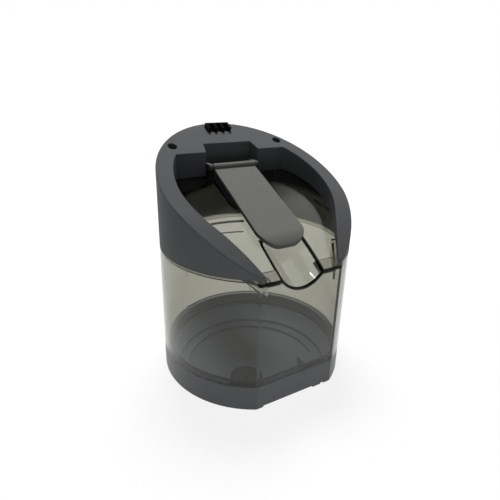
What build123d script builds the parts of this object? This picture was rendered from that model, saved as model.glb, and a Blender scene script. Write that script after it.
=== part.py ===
from build123d import *
import os
from math import acos, atan2, cos, degrees, hypot, radians, sin, sqrt

# A clean water tank: clear D-plan body, base cup, slanted collar and hinged fill lid.
# Millimetres, +Z up. Coordinates are taken from the axis of the round wall, with the flat
# front towards -Y. The finished pieces are moved so that the origin is the bottom centre.

# Plan of the tank
tank_radius = 60.0
front_cut = 6.7
corner_radius = 3.0

# Heights above the table
skirt_relief = 1.3
base_height = 16.3
collar_seat = 85.3

# Slanted rim: straight at the rear, then an arc down to the front ends
rim_above_deck = 12.5
rim_slope = 25.8
rim_bend = 12.5
rim_end_height = 1.1

# Clear body
body_wall = 2.4
spigot_wall = 2.0
spigot_depth = 7.2
spigot_clearance = 0.15
shoulder_height = 2.4
deck_front_drop = 3.3
deck_slope = 23.3
deck_radius = 340.0
deck_thickness = 1.9
lip_thickness = 3.6
lip_length = 7.0
bead_width = 2.6
bead_height = 1.2
bead_length = 15.5
bead_clearance = 0.15
bead_web = 1.3
bead_web_depth = 8.0
level_length = 44.0
level_depth = 0.8
level_drops = (6.9, 15.5)
level_heights = (1.6, 0.8)
tick_angles = (199.0, 237.0)
tick_width = 0.8
tick_height = 3.4

# Finger scoop: a round-bottomed channel that runs down the deck to the flat front
scoop_half_width = 13.8
scoop_depth = 6.2
scoop_wall = 1.9
scoop_length = 24.3
scoop_end_round = 3.0

# Base cup
base_wall = 2.4
base_floor = 2.2
base_bottom_round = 0.6
base_lift = 1.3
ledge_width = 3.0
sump_inset = 18.5
sump_x = -8.0
sump_y = -14.0
bowl_step = 2.2
bowl_step_width = 6.0
relief_width = 46.0
foot_width = 6.0
foot_x = 17.4
socket_width = 15.0
socket_depth = 8.0
socket_height = 5.0
socket_x = 25.0
socket_inset = 19.3
socket_wall = 1.6

# Base gasket
gasket_height = 1.4
gasket_clearance = 0.1

# Collar
ring_width = 10.3
front_gap = 48.8
skirt_wall = 2.2
skirt_clearance = 0.3
collar_top = 2.5
inner_wall = 2.0
deck_gap = 0.25
block_inset = 30.0
notch_depth = 8.2
notch_front_width = 38.6
notch_rear_width = 35.0
block_corner_round = 1.5
rim_round = 0.8
inner_rim_round = 0.4

# Collar screws
screw_inset = 5.9
screw_angle = 44.0
screw_hole_radius = 3.0
screw_boss_wall = 1.4
screw_seat = 4.0
screw_head_radius = 2.3
screw_head_height = 1.8
screw_shank_radius = 1.3
screw_shank_clearance = 0.15
screw_length = 11.0
body_boss_radius = 3.0
body_boss_depth = 10.0
drive_radius = 0.9
drive_depth = 1.0

# Fill lid, in its own flat frame: the hinge axis is the origin and the lid runs to -Y
hinge_before_block = 1.4
hinge_lift = 6.5
lid_slope = 25.0
lid_rise = 0.2
lid_thickness = 2.3
lid_front_gap = 23.0
lid_rear_width = 30.4
lid_front_width = 32.2
lid_corner = 12.0
nose_radius = 16.0
lid_edge_round = 0.6
nose_angle = 32.0
barrel_radius = 2.3
pin_radius = 1.1
pin_clearance = 0.06
ear_radius = 1.9
ear_width = 2.6
ear_gap = 0.4

# Fill port and its gasket, in the lid's frame
port_width = 26.0
port_length = 24.6
port_middle = -22.5
port_corner = 4.0
port_gasket_margin = 5.2
port_gasket_thickness = 1.5
port_gasket_gap = 0.1
port_gasket_skirt = 1.2
port_gasket_clearance = 0.1
coaming_height = 5.0

# Vent valve
vent_inset = 14.0
vent_hole_radius = 1.4
vent_stem_clearance = 0.1
vent_cap_radius = 4.2
vent_cap_height = 1.3
vent_knob_radius = 1.9
vent_knob_length = 3.0

# Rear comb
comb_width = 17.2
comb_length = 6.8
comb_inset = 10.4
comb_height = 3.0
comb_sink = 1.0
comb_floor = 1.0
comb_rib = 1.9
comb_ribs = 4
comb_rear_wall = 1.4

# Outlet valve
valve_x = -24.0
valve_inset = 19.3
outlet_radius = 4.4
valve_tube_radius = 8.0
valve_tube_wall = 1.6
valve_tube_height = 4.6
valve_slots = 4
valve_slot_width = 4.0
valve_travel = 2.2
valve_stop_gap = 1.1
poppet_radius = 5.6
poppet_disc = 1.2
poppet_stem = 1.5
poppet_stem_show = 0.5
poppet_foot = 2.4
poppet_foot_lift = 0.5
guide_clearance = 0.08
valve_seal_ring = 4.95
valve_seal_wire = 0.55
cage_wall = 1.5
cage_clearance = 0.05
cage_skirt = 2.2
cage_top = 1.2
cage_guide_radius = 2.6
cage_guide_drop = 0.8
spring_radius = 3.7
spring_wire = 0.25
spring_turns = 2.5

# Heights and places that follow from the sizes above
flat_offset = tank_radius - front_cut
front_y = -flat_offset
floor_top = base_lift + base_floor
ledge_top = base_height - spigot_depth - gasket_height
neck_inset = skirt_wall + skirt_clearance
shoulder_under = collar_seat - shoulder_height
spigot_inset = base_wall + spigot_clearance
opening_radius = tank_radius - ring_width
frame_shift = (flat_offset - tank_radius) / 2
deck_axis_y = deck_radius * sin(radians(deck_slope))
deck_reach = sqrt(deck_radius**2 - (front_y - deck_axis_y) ** 2)
deck_axis_z = collar_seat - deck_front_drop - deck_reach
rim_height = deck_axis_z + deck_radius * cos(radians(deck_slope)) + rim_above_deck
rim_front_height = collar_seat + rim_end_height
top = rim_height + tank_radius
block_y = tank_radius - block_inset
screw_x = (tank_radius - screw_inset) * cos(radians(screw_angle))
screw_y = (tank_radius - screw_inset) * sin(radians(screw_angle))
vent_y = tank_radius - vent_inset
comb_front_y = tank_radius - comb_inset
hinge_y = block_y - hinge_before_block
hinge_z = deck_axis_z + sqrt(deck_radius**2 - (hinge_y - deck_axis_y) ** 2) + hinge_lift
lid_straight = (hinge_y - front_y - lid_front_gap) / cos(radians(lid_slope))
sump_radius = tank_radius - sump_inset
socket_y = front_y + socket_inset
valve_y = front_y + valve_inset
lid_place = Pos(0, hinge_y, hinge_z) * Rot(lid_slope, 0, 0)
lid_under = lid_rise - lid_thickness
pin_length = lid_rear_width + 2 * (ear_gap + ear_width)
port_gasket_top = lid_under - port_gasket_gap
port_gasket_bottom = port_gasket_top - port_gasket_thickness
coaming_margin = port_gasket_margin - port_gasket_skirt - port_gasket_clearance
scoop_radius = (scoop_half_width**2 + scoop_depth**2) / (2 * scoop_depth)
seal_height = 2 * valve_seal_wire
poppet_under = floor_top + seal_height
spring_seat = poppet_under + poppet_disc
tube_top = floor_top + valve_tube_height
cage_under = spring_seat + valve_travel + valve_stop_gap + cage_guide_drop


def deck_z(y):
    """Height of the deck's upper face at a distance y from the tank axis."""
    return deck_axis_z + sqrt(deck_radius**2 - (y - deck_axis_y) ** 2)


def prism(plan, low, high):
    """A plan stood up between two heights."""
    return extrude(Pos(0, 0, low) * plan, high - low)


def d_plan(inset=0.0, flat_inset=None):
    """The tank's outline, drawn in by a wall or a clearance."""
    radius = tank_radius - inset
    flat = flat_offset - (inset if flat_inset is None else flat_inset)
    plan = Circle(radius) - Pos(0, -flat - radius) * Rectangle(3 * radius, 2 * radius)
    corners = plan.vertices().sort_by(Axis.Y)[:2]
    return fillet(corners, max(corner_radius - inset, corner_radius / 4))


def d_ring(outer_inset, inner_inset, low, high):
    """A wall between two insets of the tank's outline."""
    return prism(d_plan(outer_inset), low, high) - prism(d_plan(inner_inset), low, high)


def under_deck(depth=0.0):
    """Everything below the deck's upper face, or below a face a depth under it."""
    return Pos(0, deck_axis_y, deck_axis_z) * Rot(0, 90, 0) * Cylinder(deck_radius - depth, 6 * tank_radius)


def under_rim(depth=0.0):
    """Everything below the slanted rim, or below a face a depth under it."""
    slope = radians(rim_slope)
    bend = Vector(-rim_bend, rim_height - rim_bend * sin(slope) / cos(slope))
    chord = bend - Vector(front_y, rim_front_height)
    turn = atan2(chord.Y, chord.X) - slope
    radius = chord.length / (2 * sin(turn))
    centre = bend - Vector(-sin(slope), cos(slope)) * radius
    reach = 2 * tank_radius

    def on_arc(angle):
        return centre + Vector(-sin(angle), cos(angle)) * (radius - depth)

    start = on_arc(slope)
    middle = on_arc(slope + 1.2 * turn)
    end = on_arc(slope + 2.4 * turn)
    rear = start + Vector(cos(slope), sin(slope)) * reach
    outline = Line(rear, start) + ThreePointArc(start, middle, end)
    outline += Polyline(end, (end.X, -reach), (rear.X, -reach), rear)
    return extrude(make_face(Plane.YZ * outline), 2 * tank_radius, both=True)


def collar_opening():
    """Plan of the hole in the collar: round sides, rear block with a notch, open front."""
    half_gap = front_gap / 2
    reach = hypot(half_gap, flat_offset)
    angle = atan2(-flat_offset, half_gap) + acos(opening_radius / reach)
    side = (opening_radius * cos(angle), opening_radius * sin(angle))
    front = (half_gap, front_y)
    outer = (half_gap, front_y - tank_radius)
    right = [side, front, outer]
    left = [(-x, y) for x, y in reversed(right)]
    behind_block = Pos(0, block_y + tank_radius) * Rectangle(3 * tank_radius, 2 * tank_radius)
    round_part = Circle(opening_radius) - behind_block
    notch_rear = block_y + notch_depth
    front_half = notch_front_width / 2
    rear_half = notch_rear_width / 2
    inside = block_y - inner_wall
    notch = [(front_half, inside), (front_half, block_y), (rear_half, notch_rear)]
    notch += [(-x, y) for x, y in reversed(notch)]
    front_part = make_face(Polyline(*right, *left, close=True))
    plan = round_part + front_part + make_face(Polyline(*notch, close=True))
    corners = [corner for corner in plan.vertices() if abs(corner.Y - block_y) < inner_wall / 2]
    return fillet(corners, block_corner_round)


def screw_places():
    return [(side * screw_x, screw_y) for side in (-1, 1)]


def scoop(grow):
    """The finger scoop, grown by its wall for the outside."""
    rise = deck_z(front_y + scoop_length) - deck_z(front_y)
    slope = degrees(atan2(rise, scoop_length))
    length = 2 * hypot(rise, scoop_length) + grow
    channel = Rot(90, 0, 0) * Cylinder(scoop_radius + grow, length)
    end = channel.edges().filter_by(GeomType.CIRCLE).sort_by(Axis.Y)[-1]
    channel = fillet(end, scoop_end_round + grow)
    place = Pos(0, front_y, deck_z(front_y)) * Rot(slope, 0, 0)
    return place * Pos(0, grow / 2, scoop_radius - scoop_depth) * channel


def front_lip():
    """A thicker band of the deck behind its front edge, with its rear face square to the deck."""
    rear = front_y + lip_length
    slope = degrees(atan2(deck_axis_y - rear, deck_z(rear) - deck_axis_z))
    size = 2 * tank_radius
    ahead = Pos(0, rear, deck_z(rear)) * Rot(slope, 0, 0) * Pos(0, -size / 2, 0) * Box(size, size, size)
    within = d_plan(neck_inset + body_wall / 2, body_wall / 2)
    return (prism(within, base_height, top) & ahead & under_deck()) - under_deck(lip_thickness)


def collar_beads():
    """Low beads on the deck along the collar's two front ends, each with a web below the deck."""
    opening = collar_opening()
    near = Pos(0, front_y + bead_length / 2) * Rectangle(2 * tank_radius, bead_length)
    reach = bead_clearance + bead_width
    plan = (offset(opening, -bead_clearance) - offset(opening, -reach)) & near
    beads = (prism(plan, base_height, top) & under_deck(-bead_height)) - under_deck(deck_thickness / 2)
    plan = (offset(opening, bead_web - reach) - offset(opening, -reach)) & near
    return beads + ((prism(plan, base_height, top) & under_deck()) - under_deck(bead_web_depth))


def level_lines():
    """Raised water level lines inside the rear wall."""
    lines = Part()
    for drop, height in zip(level_drops, level_heights):
        low = collar_seat - drop - height / 2
        line = d_ring(body_wall / 2, body_wall + level_depth, low, low + height)
        lines += line & prism(Pos(0, tank_radius) * Rectangle(level_length, tank_radius), low, low + height)
    return lines


def make_tank_body():
    outside = prism(d_plan(), base_height, collar_seat)
    outside += prism(d_plan(neck_inset, 0), base_height, top)
    outside &= under_deck()
    posts = prism(d_plan() - collar_opening(), base_height, collar_seat)
    outside += posts
    inside = prism(d_plan(body_wall), base_height + shoulder_height, shoulder_under)
    inside += prism(d_plan(spigot_inset + spigot_wall), 0, collar_seat)
    inside += prism(d_plan(neck_inset + body_wall, body_wall), shoulder_under, top)
    inside &= under_deck(deck_thickness)
    spigot_low = base_height - spigot_depth
    spigot = d_ring(spigot_inset, spigot_inset + spigot_wall, spigot_low, base_height + shoulder_height)
    scoop_shell = scoop(scoop_wall) & prism(d_plan(), base_height, top) & under_deck()
    body = outside - inside + spigot + scoop_shell + front_lip() + collar_beads() + level_lines()
    for x, y in screw_places():
        boss = Pos(x, y) * Circle(body_boss_radius)
        body += prism(boss, deck_z(y) - body_boss_depth, top) & under_deck()
    for angle in tick_angles:
        for turn in (angle, 180 - angle):
            tick = Pos(tank_radius - body_wall, 0) * Rectangle(2 * tick_width, tick_width)
            body += Rot(0, 0, turn) * prism(tick, shoulder_under - tick_height, shoulder_under)
    ring = Pos(0, port_middle) * port_plan(coaming_margin)
    seat = Pos(0, port_middle) * port_plan(port_gasket_margin + port_gasket_clearance)
    body -= lid_place * prism(seat, port_gasket_bottom, port_gasket_top + lid_thickness)
    coaming = lid_place * prism(ring, port_gasket_bottom - coaming_height, port_gasket_bottom)
    body += coaming - under_deck(deck_thickness / 2)
    body -= scoop(0)
    body -= lid_place * prism(Pos(0, port_middle) * port_plan(), -tank_radius / 2, port_gasket_top)
    for x, y in screw_places():
        body -= prism(Pos(x, y) * Circle(screw_shank_radius), screw_tip(y), top)
    return body - vent_place() * Cylinder(vent_hole_radius, 4 * deck_thickness)


def port_plan(margin=0.0):
    return RectangleRounded(port_width + 2 * margin, port_length + 2 * margin, port_corner + margin / 2)


def make_port_gasket():
    """A flat ring under the lid, with a skirt around the coaming that stops at the deck."""
    margin = port_gasket_margin
    skirt = port_plan(margin) - port_plan(margin - port_gasket_skirt)
    skirt = prism(Pos(0, port_middle) * skirt, port_gasket_bottom - coaming_height, port_gasket_bottom)
    ring = prism(Pos(0, port_middle) * (port_plan(margin) - port_plan()), port_gasket_bottom, port_gasket_top)
    return lid_place * ring + (lid_place * skirt - under_deck(-port_gasket_clearance))


def make_base_cup():
    cup = prism(d_plan(), 0, base_height)
    cup = fillet(cup.faces().sort_by(Axis.Z)[0].edges(), base_bottom_round)
    cup -= prism(d_plan(base_wall), ledge_top, base_height)
    sump = Pos(sump_x, sump_y) * Circle(sump_radius)
    bowl = Pos(sump_x, sump_y) * Circle(sump_radius + bowl_step_width)
    well = d_plan(base_wall + ledge_width)
    cup -= prism(bowl & well, ledge_top - bowl_step, ledge_top)
    cup -= prism(sump & well, floor_top, ledge_top)
    cup -= prism(d_plan(base_wall), 0, base_lift)
    sump_outside = Pos(sump_x, sump_y) * Circle(sump_radius + base_floor)
    cup -= prism(d_plan(base_wall) - sump_outside, 0, ledge_top - bowl_step - base_floor)
    bowl_outside = Pos(sump_x, sump_y) * Circle(sump_radius + bowl_step_width + base_floor)
    cup -= prism(d_plan(base_wall) - bowl_outside, 0, ledge_top - base_floor)
    relief = Rectangle(relief_width, 3 * base_wall) - Pos(foot_x, 0) * Rectangle(foot_width, 3 * base_wall)
    cup -= prism(Pos(0, front_y) * relief, 0, skirt_relief)
    cup = make_socket(cup) + make_valve_tube()
    return cup - prism(Pos(valve_x, valve_y) * Circle(outlet_radius), 0, floor_top)


def make_socket(cup):
    """A rectangular locating socket, open below, that stands up from the floor."""
    place = Pos(socket_x, socket_y)
    cup += prism(place * Rectangle(socket_width, socket_depth), base_lift, floor_top + socket_height)
    hollow = place * Rectangle(socket_width - 2 * socket_wall, socket_depth - 2 * socket_wall)
    return cup - prism(hollow, 0, floor_top + socket_height - socket_wall)


def make_valve_tube():
    """The tube around the outlet, with slots that let the water in at the floor."""
    bore = valve_tube_radius - valve_tube_wall
    tube = prism(Circle(valve_tube_radius) - Circle(bore), floor_top, tube_top)
    for turn in range(valve_slots):
        slot = Pos(valve_tube_radius, 0) * Rectangle(valve_tube_radius, valve_slot_width)
        tube -= Rot(0, 0, 45 + 360 * turn / valve_slots) * prism(slot, floor_top, tube_top - cage_skirt)
    return Pos(valve_x, valve_y) * tube


def make_base_gasket():
    outer = base_wall + gasket_clearance
    inner = spigot_inset + spigot_wall
    return d_ring(outer, inner, ledge_top, ledge_top + gasket_height)


def make_collar():
    block = prism(d_plan(), collar_seat, top) & under_rim()
    tops = [face for face in block.faces() if face.normal_at().Z > 0.1]
    block = fillet(outer_edges(tops), rim_round)
    opening = collar_opening()
    block -= prism(opening, 0, top)
    tops = [face for face in block.faces() if face.normal_at().Z > 0.1]
    block = fillet(inner_edges(tops), inner_rim_round)
    hollow = prism(d_plan(skirt_wall) - offset(opening, inner_wall), 0, top) & under_rim(collar_top)
    collar = block - hollow
    for x, y in screw_places():
        boss = Pos(x, y) * Circle(screw_hole_radius + screw_boss_wall)
        collar += prism(boss, collar_seat, top) & under_rim() & prism(d_plan(), collar_seat, top)
    collar += hinge_ears()
    collar -= prism(d_plan(skirt_wall), 0, top) & under_deck(-deck_gap)
    collar -= hinge_axis() * Cylinder(pin_radius, pin_length)
    for x, y in screw_places():
        seat = deck_z(y) + screw_seat
        collar -= prism(Pos(x, y) * Circle(screw_hole_radius), seat, top)
        collar -= prism(Pos(x, y) * Circle(screw_shank_radius + screw_shank_clearance), 0, top)
    return collar - comb_block(0)


def outer_edges(faces):
    """The edges of some faces that lie away from the tank axis."""
    edges = [edge for face in faces for edge in face.edges()]
    return [edge for edge in edges if hypot((edge @ 0.5).X, (edge @ 0.5).Y) > opening_radius]


def inner_edges(faces):
    """The edges of some faces that lie around the collar's opening."""
    edges = [edge for face in faces for edge in face.edges()]
    return [edge for edge in edges if hypot((edge @ 0.5).X, (edge @ 0.5).Y) < tank_radius - ring_width / 2]


def hinge_axis():
    return Pos(0, hinge_y, hinge_z) * Rot(0, 90, 0)


def hinge_ears():
    """Two arms from the back of the notch that hold the pin on each side of the barrel."""
    length = block_y + notch_depth - hinge_y + inner_wall / 2
    arm = Circle(ear_radius) + Pos(length / 2, 0) * Rectangle(length, 2 * ear_radius)
    arm = extrude(Plane.YZ * arm, ear_width)
    side = lid_rear_width / 2 + ear_gap
    return [Pos(x, hinge_y, hinge_z) * arm for x in (side, -side - ear_width)]


def comb_place():
    """Frame on the rim: origin at the middle of the comb's front edge, +Y up the slope."""
    slope = radians(rim_slope)
    height = rim_height + comb_front_y * sin(slope) / cos(slope)
    return Pos(0, comb_front_y, height) * Rot(rim_slope, 0, 0)


def comb_block(height):
    plan = Pos(0, comb_length / 2) * Rectangle(comb_width, comb_length)
    return comb_place() * prism(plan, -comb_sink, height)


def make_rear_comb():
    comb = comb_block(comb_height)
    slot = (comb_width - comb_ribs * comb_rib) / (comb_ribs - 1)
    depth = comb_length - comb_rear_wall
    for index in range(comb_ribs - 1):
        x = -comb_width / 2 + comb_rib + slot / 2 + index * (slot + comb_rib)
        plan = Pos(x, depth / 2) * Rectangle(slot, depth)
        comb -= comb_place() * prism(plan, comb_floor - comb_sink, comb_height)
    return comb


def screw_tip(y):
    return deck_z(y) + screw_seat - screw_length


def make_collar_screws():
    screws = []
    for x, y in screw_places():
        seat = deck_z(y) + screw_seat
        screw = prism(Circle(screw_shank_radius), screw_tip(y), seat)
        screw += prism(Circle(screw_head_radius), seat, seat + screw_head_height)
        drive = RegularPolygon(drive_radius, 6)
        screw -= prism(drive, seat + screw_head_height - drive_depth, seat + screw_head_height)
        screws.append(Pos(x, y) * screw)
    return Compound(screws)


def make_fill_lid():
    angle = radians(nose_angle)
    centre = Vector(-lid_straight, lid_rise - nose_radius)
    under_radius = nose_radius - lid_thickness

    def on_nose(radius, share):
        return centre + Vector(-sin(share * angle), cos(share * angle)) * radius

    outline = Line((0, lid_rise), on_nose(nose_radius, 0))
    outline += ThreePointArc(*[on_nose(nose_radius, share) for share in (0, 1, 2)])
    outline += Line(on_nose(nose_radius, 2), on_nose(under_radius, 2))
    outline += ThreePointArc(*[on_nose(under_radius, share) for share in (2, 1, 0)])
    outline += Polyline(on_nose(under_radius, 0), (0, lid_under), (0, lid_rise))
    strap = extrude(make_face(Plane.YZ * outline), lid_front_width, both=True)
    tip = lid_straight + nose_radius * sin(angle)
    sides = [(lid_rear_width / 2, 0), (lid_front_width / 2, -tip)]
    sides += [(-x, y) for x, y in reversed(sides)]
    plan = make_face(Polyline(*sides, close=True))
    plan = fillet(plan.vertices().sort_by(Axis.Y)[:2], lid_corner)
    strap &= prism(plan, -tank_radius, tank_radius)
    tops = [face for face in strap.faces() if face.normal_at().Z > 0.5]
    rims = [edge for face in tops for edge in face.edges()]
    rims = [edge for edge in rims if abs((edge @ 0.5).X) > lid_rear_width / 4 or (edge @ 0.5).Y < 1 - tip]
    strap = fillet(rims, lid_edge_round)
    barrel = Rot(0, 90, 0) * Cylinder(barrel_radius, lid_rear_width)
    bore = Rot(0, 90, 0) * Cylinder(pin_radius + pin_clearance, 2 * lid_rear_width)
    return lid_place * (strap + barrel - bore)


def make_hinge_pin():
    return hinge_axis() * Cylinder(pin_radius, pin_length)


def vent_place():
    """Frame on the deck at the vent, square to the deck."""
    seat = deck_z(vent_y)
    tilt = degrees(atan2(deck_axis_y - vent_y, seat - deck_axis_z))
    return Pos(0, vent_y, seat) * Rot(tilt, 0, 0)


def make_vent_valve():
    """Umbrella valve: a low cap on the deck, a stem through the hole and a knob below."""
    stem = vent_hole_radius - vent_stem_clearance
    stem_length = deck_thickness + vent_stem_clearance
    cap = Pos(0, 0, vent_cap_height / 2) * Cone(vent_cap_radius, stem, vent_cap_height)
    cap += Pos(0, 0, -stem_length / 2) * Cylinder(stem, stem_length)
    cap += Pos(0, 0, -stem_length - vent_knob_length / 2) * Cone(stem / 2, vent_knob_radius, vent_knob_length)
    return vent_place() * cap


def make_valve_poppet():
    foot_low = base_lift - poppet_foot_lift
    poppet = prism(Circle(poppet_foot), foot_low, poppet_under)
    poppet += prism(Circle(poppet_radius), poppet_under, spring_seat)
    poppet += prism(Circle(poppet_stem), spring_seat, cage_under + cage_top + poppet_stem_show)
    return Pos(valve_x, valve_y) * poppet


def make_valve_seal():
    return Pos(valve_x, valve_y, floor_top + valve_seal_wire) * Torus(valve_seal_ring, valve_seal_wire)


def make_valve_spring():
    height = cage_under - spring_seat - 2 * spring_wire
    coil = Helix(height / spring_turns, height, spring_radius)
    path = Pos(valve_x, valve_y, spring_seat + spring_wire) * coil
    section = Plane(origin=path @ 0, z_dir=path % 0) * Circle(spring_wire)
    return sweep(section, path)


def make_valve_cage():
    inner = valve_tube_radius + cage_clearance
    outer = inner + cage_wall
    cage = prism(Circle(outer), tube_top - cage_skirt, cage_under + cage_top)
    cage -= prism(Circle(inner), tube_top - cage_skirt, tube_top)
    cage -= prism(Circle(valve_tube_radius - valve_tube_wall), tube_top, cage_under)
    cage += prism(Circle(cage_guide_radius), cage_under - cage_guide_drop, cage_under)
    cage -= prism(Circle(poppet_stem + guide_clearance), 0, top)
    return Pos(valve_x, valve_y) * cage


pieces = {
    "tank_body": make_tank_body(),
    "base_cup": make_base_cup(),
    "base_gasket": make_base_gasket(),
    "collar": make_collar(),
    "collar_screws": make_collar_screws(),
    "rear_comb": make_rear_comb(),
    "fill_lid": make_fill_lid(),
    "hinge_pin": make_hinge_pin(),
    "port_gasket": make_port_gasket(),
    "vent_valve": make_vent_valve(),
    "valve_poppet": make_valve_poppet(),
    "valve_seal": make_valve_seal(),
    "valve_spring": make_valve_spring(),
    "valve_cage": make_valve_cage(),
}

os.makedirs("parts", exist_ok=True)
for name, piece in pieces.items():
    export_step(Pos(0, frame_shift, 0) * piece, f"parts/{name}.step")
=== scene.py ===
"""Finishes and studio stage for a clear clean water tank with a slanted collar and a hinged fill lid."""

from math import cos, radians, sin

import bmesh
import bpy
from bpy.props import FloatProperty, FloatVectorProperty, PointerProperty
from mathutils import Matrix, Vector


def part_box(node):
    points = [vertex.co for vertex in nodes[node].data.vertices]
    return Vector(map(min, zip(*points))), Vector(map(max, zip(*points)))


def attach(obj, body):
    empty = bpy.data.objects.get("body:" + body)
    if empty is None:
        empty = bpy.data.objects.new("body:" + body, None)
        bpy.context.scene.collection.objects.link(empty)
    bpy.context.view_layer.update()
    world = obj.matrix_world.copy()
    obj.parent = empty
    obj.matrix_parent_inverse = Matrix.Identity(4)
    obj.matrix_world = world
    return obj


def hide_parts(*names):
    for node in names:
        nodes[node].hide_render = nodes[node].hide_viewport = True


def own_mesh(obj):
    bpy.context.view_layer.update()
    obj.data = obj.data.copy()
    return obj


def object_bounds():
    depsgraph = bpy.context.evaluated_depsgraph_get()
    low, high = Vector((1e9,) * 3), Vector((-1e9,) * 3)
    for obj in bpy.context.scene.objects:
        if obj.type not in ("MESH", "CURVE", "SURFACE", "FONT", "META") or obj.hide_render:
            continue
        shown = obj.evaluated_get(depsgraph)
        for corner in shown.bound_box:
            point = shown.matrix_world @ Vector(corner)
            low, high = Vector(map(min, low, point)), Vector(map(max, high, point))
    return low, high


bl_info = {
    "name": "Clean Water Tank",
    "version": (1, 0, 0),
    "blender": (4, 5, 0),
    "location": "3D View > Sidebar > Tank",
    "description": "Dresses a clear water tank and sets up its studio",
    "category": "Object",
}

MM = 0.001

# Faces of the clear body, in metres: the flat front, the arched deck and the finger scoop
FLAT_FRONT = -56.65 * MM
DECK_AXIS = (0, 131.1355 * MM, -201.4371 * MM)
DECK_RADIUS = 340 * MM
SCOOP_AXIS = (0, -62.9877 * MM, 92.4926 * MM)
SCOOP_ALONG = (0, 0.85597, 0.51703)
SCOOP_RADIUS = 18.458 * MM
SCOOP_LENGTH = 28.4 * MM

# Level lines inside the round wall: the middle and half the width of each
ROUND_AXIS = (0, -3.35 * MM, 0)
LINE_RADIUS = 57.5 * MM
LEVEL_LINES = ((78.4 * MM, 0.9 * MM), (69.8 * MM, 0.5 * MM))

# Width of the painted dark edges of the clear body, a painted shade that stands in for the dark look
# refraction gives them, the share of it that is fully dark, and their colour
EDGE = 1.2 * MM
EDGE_CORE = 0.6
PAINTED_EDGE_SHADE = "#0A0B0B"

# Patterns in millimetres. Grain and scratches are finer in life and drawn coarser here so that they show
CLOUD_MM = 18
GRAIN_MM = 0.5
FINE_GRAIN_MM = 0.4
RUBBER_GRAIN_MM = 0.6
SCRATCH_MM = 0.6
RIPPLE_MM = 14
RIPPLE_DEPTH_MM = 0.05
TONE_SPREAD = 0.1
GLOSS_SPREAD = 0.05

# Valve spring
WIRE_SIDES = 10
TURN_STEPS = 24
OPEN_TURNS = 2
SORT_ALONG = (0.31, 0.57, 0.76)

# Studio: the table's half width and the distances over which it turns white, the share of white that is seen,
# the heights where the ceiling and the low light start and end, and the side that a black cloth darkens
FLOOR_HALF = 4
WHITE_FROM, WHITE_BY = 0.1, 0.5
SEEN_WHITE = 0.87
CEILING = (0.92, 0.98)
LOW_LIGHT = (0.15, 0.45)
DARK_SIDE = (0.298, 0.596, 0.745)
DARK_SPREAD = (0.91, 0.97)
COOL_LIGHT = (0.78, 0.95, 1)
WHITE = (1, 1, 1, 1)

# Lamps: place and size in metres
OVERHEAD = ((0.1, 0.28, 0.88), (0.3, 0.3))
THROUGH_DECK = ((0.05, -0.1, 0.9), (0.3, 0.3))
STRIP = ((-0.2, -0.171, 0.85), (0.13, 0.005))
STRIP_TURN = radians(57)
FRONT_CARD = ((-0.1, -0.19, 0.012), (0.2, 0.02))
UNDER_DECK = ("base_cup", "base_gasket", "valve_cage", "valve_poppet", "valve_seal", "valve_coil")

SENSOR_WIDTH = 36
CLIP_START = 0.01

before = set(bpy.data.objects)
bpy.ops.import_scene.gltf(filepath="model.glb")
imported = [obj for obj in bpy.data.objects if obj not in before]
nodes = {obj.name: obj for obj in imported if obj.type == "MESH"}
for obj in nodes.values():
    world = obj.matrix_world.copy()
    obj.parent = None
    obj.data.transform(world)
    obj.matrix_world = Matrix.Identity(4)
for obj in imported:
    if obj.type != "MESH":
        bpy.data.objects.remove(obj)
pieces = dict(nodes)  # CAD nodes by name, and the valve coil once it is wound
cad_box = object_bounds()
tank_middle = (cad_box[0] + cad_box[1]) / 2


def linear(hex_colour):
    """An sRGB hex colour as the linear colour that shaders take."""
    parts = [int(hex_colour[i : i + 2], 16) / 255 for i in (1, 3, 5)]
    return [p / 12.92 if p <= 0.04045 else ((p + 0.055) / 1.055) ** 2.4 for p in parts]


def per_size(millimetres):
    """Scale of a noise pattern whose blotches are about that many millimetres across."""
    return 1 / (millimetres * MM)


def colour(name, description, default):
    """A colour that a user may change, with an sRGB hex default."""
    return FloatVectorProperty(
        name=name, description=description, subtype="COLOR", min=0, max=1, default=linear(default)
    )


class TankFinish(bpy.types.PropertyGroup):
    """Colours of the mouldings, seals and metal, and the valve spring's wire."""

    smoke: colour("Smoke", "What the clear plastic lets through", "#86865D")
    smoke_density: FloatProperty(
        name="Smoke density", description="Absorption per metre of clear plastic", min=0, default=300
    )
    grey: colour("Grey", "Collar", "#545557")
    base_grey: colour("Base grey", "Base cup", "#424547")
    lid_grey: colour("Lid grey", "Fill lid", "#676863")
    black: colour("Black", "Rear comb and valve", "#0D0D0E")
    seal: colour("Seal", "Gaskets and vent valve", "#0B0C0D")
    steel: colour("Steel", "Hinge pin and spring", "#B9BABB")
    screw: colour("Screw", "Collar screws", "#2A2B2D")
    wire: FloatProperty(
        name="Spring wire", description="Radius of the valve spring's wire", unit="LENGTH", default=0.25 * MM
    )


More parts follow.
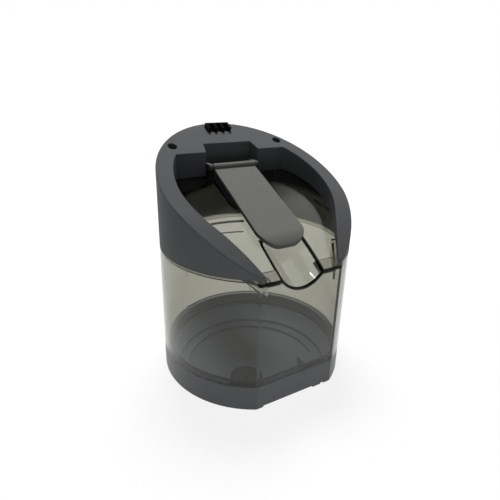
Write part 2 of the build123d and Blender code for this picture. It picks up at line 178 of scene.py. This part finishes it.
class TankStage(bpy.types.PropertyGroup):
    """Camera, lamps and floor."""

    azimuth: FloatProperty(
        name="Azimuth", description="Camera's turn round the tank", subtype="ANGLE", default=radians(-31.08)
    )
    elevation: FloatProperty(
        name="Elevation",
        description="Camera's angle above the table",
        subtype="ANGLE",
        default=radians(22.18),
    )
    roll: FloatProperty(name="Roll", description="Camera's tilt", subtype="ANGLE", default=radians(1.5))
    distance: FloatProperty(
        name="Distance", description="From the camera to the point it looks at", unit="LENGTH", default=0.2861
    )
    lens: FloatProperty(name="Lens", description="Focal length in millimetres", default=31.165)
    aim_right: FloatProperty(
        name="Aim right", description="Aim point to the right of the tank", unit="LENGTH", default=-0.0024
    )
    aim_up: FloatProperty(name="Aim up", description="Aim point above", unit="LENGTH", default=0.0084)
    aim_height: FloatProperty(
        name="Aim height", description="Height on the round wall's axis", unit="LENGTH", default=0.069
    )
    axis_back: FloatProperty(
        name="Axis offset", description="Round wall's axis from the origin", unit="LENGTH", default=-0.00335
    )
    overhead_power: FloatProperty(
        name="Overhead", description="Power of the softbox", unit="POWER", default=10
    )
    strip_power: FloatProperty(
        name="Strip", description="Power of the strip light", unit="POWER", default=0.4
    )
    front_power: FloatProperty(
        name="Front", description="Power of the card in front", unit="POWER", default=0.07
    )
    inside_power: FloatProperty(
        name="Inside", description="Power of the softbox under the clear deck", unit="POWER", default=15
    )
    surround: FloatProperty(name="Surround", description="Light from low all round", min=0, default=0.06)
    ambient: FloatProperty(name="Ambient", description="Light from high all round", min=0, default=0.03)
    zenith: FloatProperty(
        name="Zenith", description="Brightness of the studio's ceiling", min=0, default=0.2
    )
    floor: colour("Floor", "Pale table", "#F8F8F7")


def add(tree, kind, settings=None, inputs=None):
    """Adds a node, sets its options and fills its sockets with values or links."""
    node = tree.nodes.new(kind)
    for name, value in (settings or {}).items():
        setattr(node, name, value)
    for name, value in (inputs or {}).items():
        socket = node.inputs[name]
        if isinstance(value, bpy.types.NodeSocket):
            tree.links.new(value, socket)
        else:
            socket.default_value = value
    return node


def new_material(name):
    """An empty node material."""
    material = bpy.data.materials.new(name)
    material.use_nodes = True
    material.node_tree.nodes.clear()
    return material


def opaque(rgb):
    """A colour with full alpha."""
    return (*rgb, 1)


def moulded_plastic(name, rgb, roughness, shine, grain_mm, grain_depth_mm):
    """Spark-grained moulding: a fine matt grain that softens the light, and faint cloudy flow marks."""
    material = new_material(name)
    tree = material.node_tree
    place = add(tree, "ShaderNodeTexCoord").outputs["Object"]
    clouds = add(
        tree, "ShaderNodeTexNoise", inputs={"Vector": place, "Scale": per_size(CLOUD_MM), "Detail": 3}
    ).outputs["Fac"]
    dark = opaque([(1 - TONE_SPREAD) * part for part in rgb])
    light = opaque([min(1, (1 + TONE_SPREAD) * part) for part in rgb])
    tone = add(tree, "ShaderNodeMix", {"data_type": "RGBA"}, {0: clouds, 6: dark, 7: light})
    gloss = add(
        tree,
        "ShaderNodeMapRange",
        inputs={"Value": clouds, "To Min": roughness - GLOSS_SPREAD, "To Max": roughness + GLOSS_SPREAD},
    )
    grain = add(
        tree, "ShaderNodeTexNoise", inputs={"Vector": place, "Scale": per_size(grain_mm), "Detail": 2}
    )
    relief = add(
        tree,
        "ShaderNodeBump",
        inputs={"Height": grain.outputs["Fac"], "Strength": 0.5, "Distance": grain_depth_mm * MM},
    )
    surface = add(
        tree,
        "ShaderNodeBsdfPrincipled",
        inputs={
            "Base Color": tone.outputs[2],
            "Roughness": gloss.outputs["Result"],
            "Normal": relief.outputs["Normal"],
            "IOR": 1.53,
            "Specular IOR Level": shine,
        },
    )
    add(tree, "ShaderNodeOutputMaterial", inputs={"Surface": surface.outputs["BSDF"]})
    return material


def off_cylinder(tree, place, point, along, radius):
    """How far a place is from a round face whose axis goes through a point, along a unit vector."""
    beside = add(tree, "ShaderNodeVectorMath", {"operation": "SUBTRACT"}, {0: place, 1: point})
    across = add(
        tree,
        "ShaderNodeVectorMath",
        {"operation": "CROSS_PRODUCT"},
        {0: beside.outputs["Vector"], 1: along},
    )
    reach = add(tree, "ShaderNodeVectorMath", {"operation": "LENGTH"}, {0: across.outputs["Vector"]})
    gap = add(tree, "ShaderNodeMath", {"operation": "SUBTRACT"}, {0: reach.outputs["Value"], 1: radius})
    return gap.outputs["Value"]


def painted_edge_shade_mask(tree, place):
    """1 along the edges where the deck, the finger scoop and the flat front meet, 0 elsewhere: the mask of
    the painted shade that stands in for the dark look refraction gives these edges.
    """
    depth = add(tree, "ShaderNodeSeparateXYZ", inputs={"Vector": place}).outputs["Y"]
    front = add(tree, "ShaderNodeMath", {"operation": "SUBTRACT"}, {0: depth, 1: FLAT_FRONT}).outputs["Value"]
    deck = off_cylinder(tree, place, DECK_AXIS, (1, 0, 0), DECK_RADIUS)
    scoop = off_cylinder(tree, place, SCOOP_AXIS, SCOOP_ALONG, SCOOP_RADIUS)
    gaps = [
        add(tree, "ShaderNodeMath", {"operation": "ABSOLUTE"}, {0: face}).outputs["Value"]
        for face in (front, deck, scoop)
    ]
    # The scoop ends under the lid's nose, so behind that its round face is no edge
    beside = add(tree, "ShaderNodeVectorMath", {"operation": "SUBTRACT"}, {0: place, 1: SCOOP_AXIS})
    along = add(
        tree,
        "ShaderNodeVectorMath",
        {"operation": "DOT_PRODUCT"},
        {0: beside.outputs["Vector"], 1: SCOOP_ALONG},
    )
    past = add(
        tree, "ShaderNodeMath", {"operation": "SUBTRACT"}, {0: along.outputs["Value"], 1: SCOOP_LENGTH}
    )
    ended = add(tree, "ShaderNodeMath", {"operation": "MAXIMUM"}, {0: gaps[2], 1: past.outputs["Value"]})
    # An edge is where the second nearest of the three faces is near too
    nearer = add(tree, "ShaderNodeMath", {"operation": "MINIMUM"}, {0: gaps[0], 1: gaps[1]})
    further = add(tree, "ShaderNodeMath", {"operation": "MAXIMUM"}, {0: gaps[0], 1: gaps[1]})
    other = add(
        tree,
        "ShaderNodeMath",
        {"operation": "MINIMUM"},
        {0: further.outputs["Value"], 1: ended.outputs["Value"]},
    )
    second = add(
        tree,
        "ShaderNodeMath",
        {"operation": "MAXIMUM"},
        {0: nearer.outputs["Value"], 1: other.outputs["Value"]},
    )
    edge = add(
        tree,
        "ShaderNodeMapRange",
        {"interpolation_type": "SMOOTHSTEP"},
        {
            "Value": second.outputs["Value"],
            "From Min": EDGE_CORE * EDGE,
            "From Max": EDGE,
            "To Min": 1,
            "To Max": 0,
        },
    )
    return edge.outputs["Result"]


def painted_level_line_shade_mask(tree, place):
    """1 on the two raised water level lines inside the rear wall, 0 elsewhere: the mask of the painted shade
    that stands in for the dark look refraction gives these ribs.
    """
    part = add(tree, "ShaderNodeSeparateXYZ", inputs={"Vector": place})
    inside = off_cylinder(tree, place, ROUND_AXIS, (0, 0, 1), LINE_RADIUS)
    upper, lower = [
        add(tree, "ShaderNodeMath", {"operation": "COMPARE"}, {0: part.outputs["Z"], 1: middle, 2: half})
        for middle, half in LEVEL_LINES
    ]
    either = add(
        tree,
        "ShaderNodeMath",
        {"operation": "MAXIMUM"},
        {0: upper.outputs["Value"], 1: lower.outputs["Value"]},
    )
    raised = add(tree, "ShaderNodeMath", {"operation": "LESS_THAN"}, {0: inside, 1: 0})
    rear = add(tree, "ShaderNodeMath", {"operation": "GREATER_THAN"}, {0: part.outputs["Y"], 1: 0})
    there = add(
        tree,
        "ShaderNodeMath",
        {"operation": "MULTIPLY"},
        {0: raised.outputs["Value"], 1: rear.outputs["Value"]},
    )
    line = add(
        tree,
        "ShaderNodeMath",
        {"operation": "MULTIPLY"},
        {0: either.outputs["Value"], 1: there.outputs["Value"]},
    )
    return line.outputs["Value"]


def clear_plastic(name, rgb, density):
    """Polished clear moulding: sharp reflections, a smoke tint, painted near-black shade along its edges and
    level lines with their reflection dimmed there, and slight ripples.
    """
    material = new_material(name)
    tree = material.node_tree
    place = add(tree, "ShaderNodeTexCoord").outputs["Object"]
    # Painted shade: the edges and the level lines are coloured near black and their reflection is dimmed,
    # standing in for the dark look that refraction gives them
    dark = add(
        tree,
        "ShaderNodeMath",
        {"operation": "MAXIMUM"},
        {0: painted_edge_shade_mask(tree, place), 1: painted_level_line_shade_mask(tree, place)},
    )
    tint = add(
        tree,
        "ShaderNodeMix",
        {"data_type": "RGBA"},
        {0: dark.outputs["Value"], 6: WHITE, 7: opaque(linear(PAINTED_EDGE_SHADE))},
    )
    ripple = add(
        tree, "ShaderNodeTexNoise", inputs={"Vector": place, "Scale": per_size(RIPPLE_MM), "Detail": 1}
    )
    relief = add(
        tree,
        "ShaderNodeBump",
        inputs={"Height": ripple.outputs["Fac"], "Strength": 0.2, "Distance": RIPPLE_DEPTH_MM * MM},
    )
    surface = add(
        tree,
        "ShaderNodeBsdfPrincipled",
        inputs={
            "Base Color": tint.outputs[2],
            "Specular Tint": tint.outputs[2],
            "Roughness": 0.02,
            "IOR": 1.49,
            "Transmission Weight": 1,
            "Normal": relief.outputs["Normal"],
        },
    )
    inside = add(tree, "ShaderNodeVolumeAbsorption", inputs={"Color": opaque(rgb), "Density": density})
    add(
        tree,
        "ShaderNodeOutputMaterial",
        inputs={"Surface": surface.outputs["BSDF"], "Volume": inside.outputs["Volume"]},
    )
    return material


def drawn_steel(name, rgb):
    """Drawn and plated or blackened steel: fine scratches that spread the highlight."""
    material = new_material(name)
    tree = material.node_tree
    place = add(tree, "ShaderNodeTexCoord").outputs["Object"]
    scratches = add(
        tree, "ShaderNodeTexNoise", inputs={"Vector": place, "Scale": per_size(SCRATCH_MM), "Detail": 4}
    )
    gloss = add(
        tree,
        "ShaderNodeMapRange",
        inputs={"Value": scratches.outputs["Fac"], "To Min": 0.22, "To Max": 0.42},
    )
    surface = add(
        tree,
        "ShaderNodeBsdfPrincipled",
        inputs={"Base Color": opaque(rgb), "Metallic": 1, "Roughness": gloss.outputs["Result"]},
    )
    add(tree, "ShaderNodeOutputMaterial", inputs={"Surface": surface.outputs["BSDF"]})
    return material


def dress(names, material):
    """Gives CAD nodes a finish."""
    for name in names:
        slots = nodes[name].data.materials
        slots.clear()
        slots.append(material)


class TANK_OT_clear_body(bpy.types.Operator):
    """Dress the clear body with its deck and finger scoop"""

    bl_idname = "tank.clear_body"
    bl_label = "Clear Body"

    def execute(self, context):
        finish = context.scene.tank_finish
        dress(["tank_body"], clear_plastic("acrylic smoke clear moulded", finish.smoke, finish.smoke_density))
        return {"FINISHED"}


class TANK_OT_grey_mouldings(bpy.types.Operator):
    """Dress the collar and the base cup"""

    bl_idname = "tank.grey_mouldings"
    bl_label = "Collar and Base"

    def execute(self, context):
        finish = context.scene.tank_finish
        # The collar is matt all over. The base is smoother, with a soft shine where it is wet and cleaned
        dress(["collar"], moulded_plastic("ABS grey grained", finish.grey, 0.6, 0.1, GRAIN_MM, 0.02))
        dress(["base_cup"], moulded_plastic("ABS grey smooth", finish.base_grey, 0.4, 0.5, GRAIN_MM, 0.01))
        return {"FINISHED"}


class TANK_OT_fill_lid(bpy.types.Operator):
    """Dress the fill lid"""

    bl_idname = "tank.fill_lid"
    bl_label = "Fill Lid"

    def execute(self, context):
        finish = context.scene.tank_finish
        # Bendable and slightly waxy, so warmer and a little glossier than the collar
        grained = moulded_plastic("PP warm grey grained", finish.lid_grey, 0.5, 0.15, GRAIN_MM, 0.02)
        dress(["fill_lid"], grained)
        return {"FINISHED"}


class TANK_OT_black_mouldings(bpy.types.Operator):
    """Dress the rear comb and the valve's mouldings"""

    bl_idname = "tank.black_mouldings"
    bl_label = "Comb and Valve"

    def execute(self, context):
        finish = context.scene.tank_finish
        # Dense and black, with hardly a highlight
        black = moulded_plastic("POM black moulded", finish.black, 0.4, 0.05, FINE_GRAIN_MM, 0.01)
        dress(["rear_comb", "valve_poppet", "valve_cage"], black)
        return {"FINISHED"}


class TANK_OT_seals(bpy.types.Operator):
    """Dress the gaskets, the valve seal and the vent valve"""

    bl_idname = "tank.seals"
    bl_label = "Seals"

    def execute(self, context):
        finish = context.scene.tank_finish
        # Dull black rubber that swallows the light
        rubber = moulded_plastic("silicone rubber moulded", finish.seal, 0.7, 0.02, RUBBER_GRAIN_MM, 0.02)
        dress(["port_gasket", "base_gasket", "valve_seal", "vent_valve"], rubber)
        return {"FINISHED"}


def wind_coil(low, high, wire):
    """A compression spring that fills a box: a closed turn at each end and open turns between them."""
    middle = (low + high) / 2
    radius = (high.x - low.x) / 2 - wire
    upright = Matrix.Rotation(radians(90), 4, "X")
    start = Matrix.Translation((middle.x + radius, middle.y, low.z + wire)) @ upright
    shape = bmesh.new()
    bmesh.ops.create_circle(shape, cap_ends=True, segments=WIRE_SIDES, radius=wire, matrix=start)
    tip = shape.verts[:] + shape.edges[:] + shape.faces[:]
    closed = 2 * wire
    for turns, rise in ((1, closed), (OPEN_TURNS, high.z - low.z - 2 * wire - 2 * closed), (1, closed)):
        steps = turns * TURN_STEPS
        wound = bmesh.ops.spin(
            shape,
            geom=tip,
            cent=(middle.x, middle.y, 0),
            axis=(0, 0, 1),
            dvec=(0, 0, rise / steps),
            angle=radians(360 * turns),
            steps=steps,
            use_merge=False,
            use_duplicate=False,
        )
        tip = wound["geom_last"]
    bmesh.ops.recalc_face_normals(shape, faces=shape.faces[:])
    # The spins leave points and faces in an order that changes from run to run
    shape.verts.sort(key=lambda vert: vert.co.dot(SORT_ALONG))
    shape.faces.sort(key=lambda face: face.calc_center_median().dot(SORT_ALONG))
    for face in shape.faces:
        face.smooth = True
    mesh = bpy.data.meshes.new("valve_coil")
    shape.to_mesh(mesh)
    shape.free()
    return bpy.data.objects.new("valve_coil", mesh)


class TANK_OT_valve_coil(bpy.types.Operator):
    """Wind the valve spring that bears against its cage"""

    bl_idname = "tank.valve_coil"
    bl_label = "Valve Coil"

    def execute(self, context):
        low, high = (Vector(corner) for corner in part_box("valve_spring"))
        finish = context.scene.tank_finish
        coil = wind_coil(low, high, finish.wire)
        context.scene.collection.objects.link(coil)
        # Bright wire with drawing scratches
        coil.data.materials.append(drawn_steel("steel drawn spring", finish.steel))
        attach(coil, "tank")
        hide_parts("valve_spring")
        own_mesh(coil)
        pieces["valve_coil"] = coil
        return {"FINISHED"}


class TANK_OT_metal(bpy.types.Operator):
    """Dress the screws and the hinge pin"""

    bl_idname = "tank.metal"
    bl_label = "Metal"

    def execute(self, context):
        finish = context.scene.tank_finish
        # The pin is bright, and the screws are blackened and show only as dark spots in their holes
        dress(["hinge_pin"], drawn_steel("steel drawn plated", finish.steel))
        dress(["collar_screws"], drawn_steel("steel black oxide", finish.screw))
        return {"FINISHED"}


def make_floor(rgb):
    """A wide pale table that the camera sees as white further out, with the tank's soft shadow on it."""
    mesh = bpy.data.meshes.new("floor")
    shape = bmesh.new()
    bmesh.ops.create_grid(shape, x_segments=1, y_segments=1, size=FLOOR_HALF)
    shape.to_mesh(mesh)
    shape.free()
    floor = bpy.data.objects.new("floor", mesh)
    bpy.context.scene.collection.objects.link(floor)
    material = new_material("table matt laminate")
    tree = material.node_tree
    place = add(tree, "ShaderNodeTexCoord").outputs["Object"]
    away = add(tree, "ShaderNodeVectorMath", {"operation": "LENGTH"}, {0: place}).outputs["Value"]
    glow = add(
        tree,
        "ShaderNodeMapRange",
        {"interpolation_type": "SMOOTHSTEP"},
        {
            "Value": away,
            "From Min": WHITE_FROM,
            "From Max": WHITE_BY,
            "To Min": 1,
            "To Max": 1 / SEEN_WHITE,
        },
    )
    matt = add(tree, "ShaderNodeBsdfDiffuse", inputs={"Color": opaque(rgb)})
    white = add(tree, "ShaderNodeEmission", inputs={"Strength": glow.outputs["Result"]})
    share = add(tree, "ShaderNodeMath", {"operation": "MULTIPLY"}, {0: seen_directly(tree), 1: SEEN_WHITE})
    mixed = add(
        tree,
        "ShaderNodeMixShader",
        inputs={0: share.outputs["Value"], 1: matt.outputs["BSDF"], 2: white.outputs["Emission"]},
    )
    add(tree, "ShaderNodeOutputMaterial", inputs={"Surface": mixed.outputs["Shader"]})
    mesh.materials.append(material)


def seen_directly(tree):
    """1 for rays of the camera, of reflections and of clear plastic, 0 once light has left a matt face."""
    path = add(tree, "ShaderNodeLightPath")
    total = path.outputs["Is Camera Ray"]
    for name in ("Is Glossy Ray", "Is Transmission Ray"):
        larger = add(tree, "ShaderNodeMath", {"operation": "MAXIMUM"}, {0: total, 1: path.outputs[name]})
        total = larger.outputs["Value"]
    straight = add(
        tree, "ShaderNodeMath", {"operation": "LESS_THAN"}, {0: path.outputs["Diffuse Depth"], 1: 0.5}
    )
    seen = add(tree, "ShaderNodeMath", {"operation": "MULTIPLY"}, {0: total, 1: straight.outputs["Value"]})
    return seen.outputs["Value"]


def make_world(surround, ambient, zenith):
    """A white surround, with a dim ceiling and a dark side for polished plastic to mirror, and soft light."""
    world = bpy.data.worlds.new("studio")
    world.use_nodes = True
    tree = world.node_tree
    tree.nodes.clear()
    place = add(tree, "ShaderNodeTexCoord").outputs["Generated"]
    height = add(tree, "ShaderNodeSeparateXYZ", inputs={"Vector": place}).outputs["Z"]
    toward = add(tree, "ShaderNodeVectorMath", {"operation": "DOT_PRODUCT"}, {0: place, 1: DARK_SIDE})
    backdrop, flag, cast = [
        add(
            tree,
            "ShaderNodeMapRange",
            {"interpolation_type": "SMOOTHSTEP"},
            {"Value": value, "From Min": start, "From Max": end, "To Min": before, "To Max": after},
        ).outputs["Result"]
        for value, (start, end), before, after in (
            (height, CEILING, 1, zenith),
            (toward.outputs["Value"], DARK_SPREAD, 1, 0),
            (height, LOW_LIGHT, surround, ambient),
        )
    ]
    shown = add(tree, "ShaderNodeMath", {"operation": "MULTIPLY"}, {0: backdrop, 1: flag})
    seen = seen_directly(tree)
    strength = add(
        tree,
        "ShaderNodeMapRange",
        inputs={"Value": seen, "To Min": cast, "To Max": shown.outputs["Value"]},
    )
    hue = add(tree, "ShaderNodeMix", {"data_type": "RGBA"}, {0: seen, 6: opaque(COOL_LIGHT), 7: WHITE})
    light = add(
        tree,
        "ShaderNodeBackground",
        inputs={"Color": hue.outputs[2], "Strength": strength.outputs["Result"]},
    )
    add(tree, "ShaderNodeOutputWorld", inputs={"Surface": light.outputs["Background"]})
    bpy.context.scene.world = world


def softbox(name, place, size, power, mirrored=False, turn=0):
    """An area lamp that faces the tank, turned about its own axis. Polished faces mirror only the strip."""
    lamp = bpy.data.lights.new(name, "AREA")
    lamp.shape = "RECTANGLE"
    lamp.size, lamp.size_y = size
    lamp.energy = power
    holder = bpy.data.objects.new(name, lamp)
    holder.location = place
    holder.rotation_euler = (Vector(place) - tank_middle).to_track_quat("Z", "Y").to_euler()
    holder.rotation_euler.rotate_axis("Z", turn)
    holder.visible_glossy = mirrored
    holder.visible_transmission = False
    holder.visible_camera = False
    bpy.context.scene.collection.objects.link(holder)
    return holder


def group(name, members):
    """A collection of pieces for a lamp to be linked to."""
    collection = bpy.data.collections.new(name)
    for member in members:
        collection.objects.link(pieces[member])
    return collection


def light_through_deck(place, size, power):
    """The overhead light again, for the pieces under the clear deck, which lamps don't shine through."""
    lamp = softbox("through_deck_softbox", place, size, power)
    lamp.data.color = COOL_LIGHT
    lamp.light_linking.receiver_collection = group("under_deck", UNDER_DECK)
    lamp.light_linking.blocker_collection = group("shading", [name for name in pieces if name != "tank_body"])


def place_camera(scene, stage):
    """The photograph's viewpoint: turned and raised round a point near the round wall's axis, and rolled."""
    back = Vector(
        (
            sin(stage.azimuth) * cos(stage.elevation),
            -cos(stage.azimuth) * cos(stage.elevation),
            sin(stage.elevation),
        )
    )
    level = Vector((cos(stage.azimuth), sin(stage.azimuth), 0))
    upright = back.cross(level)
    right = level * cos(stage.roll) + upright * sin(stage.roll)
    up = upright * cos(stage.roll) - level * sin(stage.roll)
    aim = Vector((0, stage.axis_back, stage.aim_height)) + right * stage.aim_right + up * stage.aim_up
    data = bpy.data.cameras.new("camera")
    data.lens = stage.lens
    data.sensor_width = SENSOR_WIDTH
    data.clip_start = CLIP_START
    camera = bpy.data.objects.new("camera", data)
    turned = Matrix((right, up, back)).transposed().to_4x4()
    camera.matrix_world = Matrix.Translation(aim + back * stage.distance) @ turned
    scene.collection.objects.link(camera)
    scene.camera = camera


class TANK_OT_stage(bpy.types.Operator):
    """Set up the floor, the light and the camera"""

    bl_idname = "tank.stage"
    bl_label = "Stage"

    def execute(self, context):
        scene = context.scene
        stage = scene.tank_stage
        scene.view_settings.view_transform = "Standard"
        make_world(stage.surround, stage.ambient, stage.zenith)
        make_floor(stage.floor)
        softbox("overhead_softbox", *OVERHEAD, stage.overhead_power)
        light_through_deck(*THROUGH_DECK, stage.inside_power)
        softbox("strip_light", *STRIP, stage.strip_power, mirrored=True, turn=STRIP_TURN)
        softbox("front_card", *FRONT_CARD, stage.front_power)
        place_camera(scene, stage)
        return {"FINISHED"}


class TANK_PT_panel(bpy.types.Panel):
    """Finishes and stage of the tank"""

    bl_label = "Clean Water Tank"
    bl_idname = "TANK_PT_panel"
    bl_space_type = "VIEW_3D"
    bl_region_type = "UI"
    bl_category = "Tank"

    def draw(self, context):
        for settings in (context.scene.tank_finish, context.scene.tank_stage):
            box = self.layout.box()
            for name in settings.__annotations__:
                box.prop(settings, name)
        for operator in operators:
            self.layout.operator(operator.bl_idname)


operators = (
    TANK_OT_clear_body,
    TANK_OT_grey_mouldings,
    TANK_OT_fill_lid,
    TANK_OT_black_mouldings,
    TANK_OT_seals,
    TANK_OT_valve_coil,
    TANK_OT_metal,
    TANK_OT_stage,
)
classes = (TankFinish, TankStage, *operators, TANK_PT_panel)


def register():
    for cls in classes:
        bpy.utils.register_class(cls)
    bpy.types.Scene.tank_finish = PointerProperty(type=TankFinish)
    bpy.types.Scene.tank_stage = PointerProperty(type=TankStage)


def unregister():
    del bpy.types.Scene.tank_stage
    del bpy.types.Scene.tank_finish
    for cls in reversed(classes):
        bpy.utils.unregister_class(cls)


def main():
    register()
    bpy.ops.tank.clear_body()
    bpy.ops.tank.grey_mouldings()
    bpy.ops.tank.fill_lid()
    bpy.ops.tank.black_mouldings()
    bpy.ops.tank.seals()
    bpy.ops.tank.valve_coil()
    bpy.ops.tank.metal()
    bpy.ops.tank.stage()


if __name__ == "__main__":
    main()
